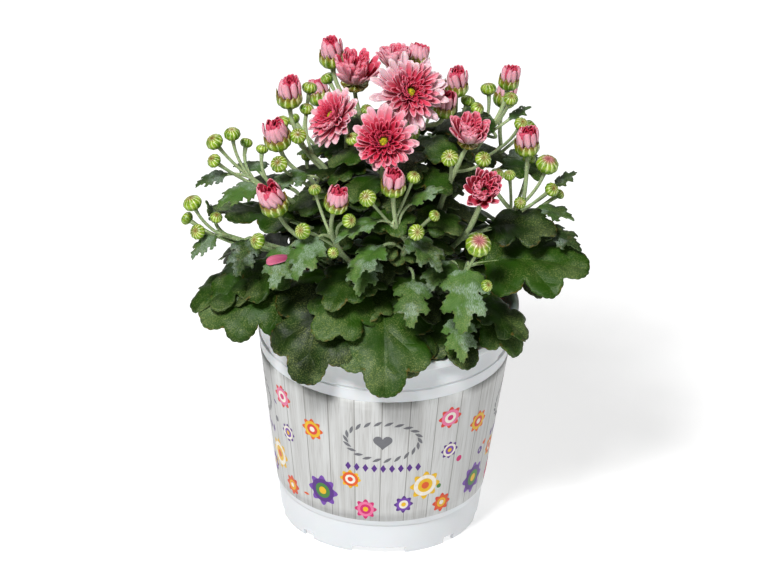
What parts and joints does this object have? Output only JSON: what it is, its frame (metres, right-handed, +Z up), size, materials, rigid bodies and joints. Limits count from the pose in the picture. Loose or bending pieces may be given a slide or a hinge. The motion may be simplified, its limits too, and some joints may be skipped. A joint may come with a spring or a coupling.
{
  "type": "pot chrysanthemum",
  "caption": "Bushy potted chrysanthemum with pink daisy-like blooms, opening and closed round buds and lobed leaves, rooted in peat in a tapered white pot.",
  "frame": {"origin": "on the ground, under the middle of the pot's foot ring", "axes": "+Z up along the pot's axis, -Y towards the front of the plant as pictured, +X to the right seen from the front"},
  "size_m": [0.1971, 0.1532, 0.2497],
  "materials": {
    "white_plastic": "satin white pot plastic with a printed whitewashed plank pattern",
    "peat": "dark moist potting peat, crumbly",
    "green_leaf": "living leaf, stem and bud, softly matt with fine hairs",
    "pink_petal": "petal, softly matt, pale pink outside and crimson inside",
    "yellow_disc": "yellow-green disc florets, matt"
  },
  "bodies": {
    "root": {"pot": "white_plastic", "soil": "peat", "back_bloom": "pink_petal", "back_stem": "green_leaf", "centre_stem": "green_leaf", "crown_bloom": "pink_petal", "crown_bloom_disc": "yellow_disc", "front_bloom": "pink_petal", "front_bloom_disc": "yellow_disc", "front_stem": "green_leaf", "left_bloom": "pink_petal", "left_bloom_disc": "yellow_disc", "left_stem": "green_leaf", "loose_petal": "pink_petal", "lower_right_bloom": "pink_petal", "opening_bud_back_left": "pink_petal", "opening_bud_back_right": "pink_petal", "opening_bud_behind_crown": "pink_petal", "opening_bud_far_right": "pink_petal", "opening_bud_front": "pink_petal", "opening_bud_front_left": "pink_petal", "opening_bud_left": "pink_petal", "opening_bud_left_front": "pink_petal", "opening_bud_left_low": "pink_petal", "opening_bud_right": "pink_petal", "opening_bud_top_back": "pink_petal", "opening_bud_top_left": "pink_petal", "opening_bud_top_right": "pink_petal", "right_bloom": "pink_petal", "right_stem": "green_leaf", "top_back_bloom": "pink_petal", "top_left_bloom": "pink_petal"}
  },
  "joints": []
}
